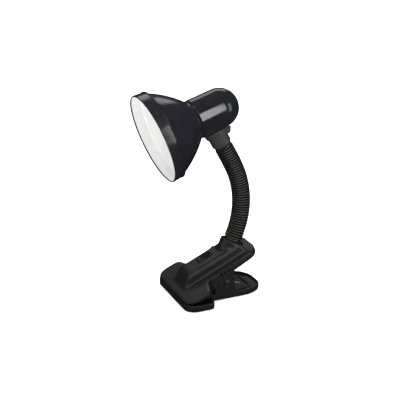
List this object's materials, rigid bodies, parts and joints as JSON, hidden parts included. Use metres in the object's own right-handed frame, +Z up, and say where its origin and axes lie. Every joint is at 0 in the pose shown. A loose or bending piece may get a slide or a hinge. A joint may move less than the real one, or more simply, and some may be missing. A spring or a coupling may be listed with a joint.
{
  "type": "clip-on reading lamp",
  "caption": "Clip-on reading lamp: spring clip with wide jaws and handles, corrugated bendable neck and a round bowl shade with a domed lampholder cup.",
  "frame": {"origin": "point of the clip's flat underside on the plane of symmetry, 43.9 mm behind the front edge of the jaws", "axes": "+Z up, -X towards the jaws' front edge and the shade's mouth, +X towards the handles, Y along the hinge pin"},
  "size_m": [0.1762, 0.125, 0.2955],
  "materials": {
    "black_plastic": "satin",
    "pad_rubber": "matte",
    "steel": "satin",
    "spring_steel": "satin",
    "screw_zinc": "satin",
    "brass": "satin",
    "switch_black": "gloss",
    "lead_pvc": "satin",
    "gooseneck_steel": "satin",
    "sleeve_black": "satin",
    "bracket_grey": "matte",
    "cup_black": "gloss",
    "shade_enamel": "gloss",
    "holder_white": "satin",
    "cap_nickel": "satin",
    "bulb_opal": "gloss"
  },
  "bodies": {
    "base": {"base_shell": "black_plastic", "lower_jaw_pad": "pad_rubber", "hinge_pin": "steel", "pin_retainer": "steel", "clip_spring": "spring_steel"},
    "arm": {"arm_shell": "black_plastic", "arm_cover": "black_plastic", "cover_screws": "screw_zinc", "upper_jaw_pad": "pad_rubber", "switch_frame": "switch_black", "switch_terminals": "brass", "switch_leads": "lead_pvc", "cord_grommet": "pad_rubber", "neck_base_fitting": "steel", "neck_base_nut": "brass", "neck_core_0": "gooseneck_steel", "neck_sleeve_0": "sleeve_black"},
    "rocker": {"switch_rocker": "switch_black"},
    "neck_1": {"neck_core_1": "gooseneck_steel", "neck_sleeve_1": "sleeve_black"},
    "neck_2": {"neck_core_2": "gooseneck_steel", "neck_sleeve_2": "sleeve_black"},
    "neck_3": {"neck_core_3": "gooseneck_steel", "neck_sleeve_3": "sleeve_black"},
    "neck_4": {"neck_core_4": "gooseneck_steel", "neck_sleeve_4": "sleeve_black"},
    "neck_5": {"neck_core_5": "gooseneck_steel", "neck_sleeve_5": "sleeve_black"},
    "neck_6": {"neck_core_6": "gooseneck_steel", "neck_sleeve_6": "sleeve_black"},
    "neck_7": {"neck_core_7": "gooseneck_steel", "neck_sleeve_7": "sleeve_black"},
    "head": {"neck_core_8": "gooseneck_steel", "neck_sleeve_8": "sleeve_black", "neck_bracket": "bracket_grey", "neck_top_fitting": "steel", "neck_top_nut": "brass", "bracket_screws": "screw_zinc", "socket_cup": "cup_black", "holder_strap": "steel", "strap_screw": "screw_zinc", "lampholder_body": "holder_white", "lampholder_shell": "brass", "lampholder_contact": "brass", "terminal_screws": "screw_zinc", "shade_ring": "holder_white", "shade": "shade_enamel", "bulb_cap": "cap_nickel", "bulb_contact": "brass", "bulb_globe": "bulb_opal"}
  },
  "joints": [
    {"name": "clip_hinge", "type": "hinge", "parent": "base", "child": "arm", "pos_m": [0.0257, 0, 0.0219], "axis": [0, 1, 0], "range_deg": [0, 32], "stiffness_Nm_per_rad": 1.2, "springref_deg": -31.51, "deforming": ["clip_spring"]},
    {"name": "switch_rock", "type": "hinge", "parent": "arm", "child": "rocker", "pos_m": [0.00686, 0, 0.04884], "axis": [0, 1, 0], "range_deg": [0, 16]},
    {"name": "neck_bend_1", "type": "hinge", "parent": "arm", "child": "neck_1", "pos_m": [0.05181, 0, 0.07693], "axis": [0, 1, 0], "range_deg": [-9, 18]},
    {"name": "neck_bend_2", "type": "hinge", "parent": "neck_1", "child": "neck_2", "pos_m": [0.05855, 0, 0.09448], "axis": [0.9588, 0, -0.284], "range_deg": [-16, 16]},
    {"name": "neck_bend_3", "type": "hinge", "parent": "neck_2", "child": "neck_3", "pos_m": [0.06246, 0, 0.11287], "axis": [0, 1, 0], "range_deg": [-9, 18]},
    {"name": "neck_bend_4", "type": "hinge", "parent": "neck_3", "child": "neck_4", "pos_m": [0.06345, 0, 0.13165], "axis": [0.9997, 0, 0.0262], "range_deg": [-16, 16]},
    {"name": "neck_bend_5", "type": "hinge", "parent": "neck_4", "child": "neck_5", "pos_m": [0.06148, 0, 0.15035], "axis": [0, 1, 0], "range_deg": [-9, 18]},
    {"name": "neck_bend_6", "type": "hinge", "parent": "neck_5", "child": "neck_6", "pos_m": [0.05661, 0, 0.1685], "axis": [0.9426, 0, 0.3338], "range_deg": [-16, 16]},
    {"name": "neck_bend_7", "type": "hinge", "parent": "neck_6", "child": "neck_7", "pos_m": [0.04897, 0, 0.18568], "axis": [0, 1, 0], "range_deg": [-9, 18]},
    {"name": "neck_bend_8", "type": "hinge", "parent": "neck_7", "child": "head", "pos_m": [0.03985, 0, 0.20212], "axis": [0.8746, 0, 0.4848], "range_deg": [-16, 16]}
  ]
}
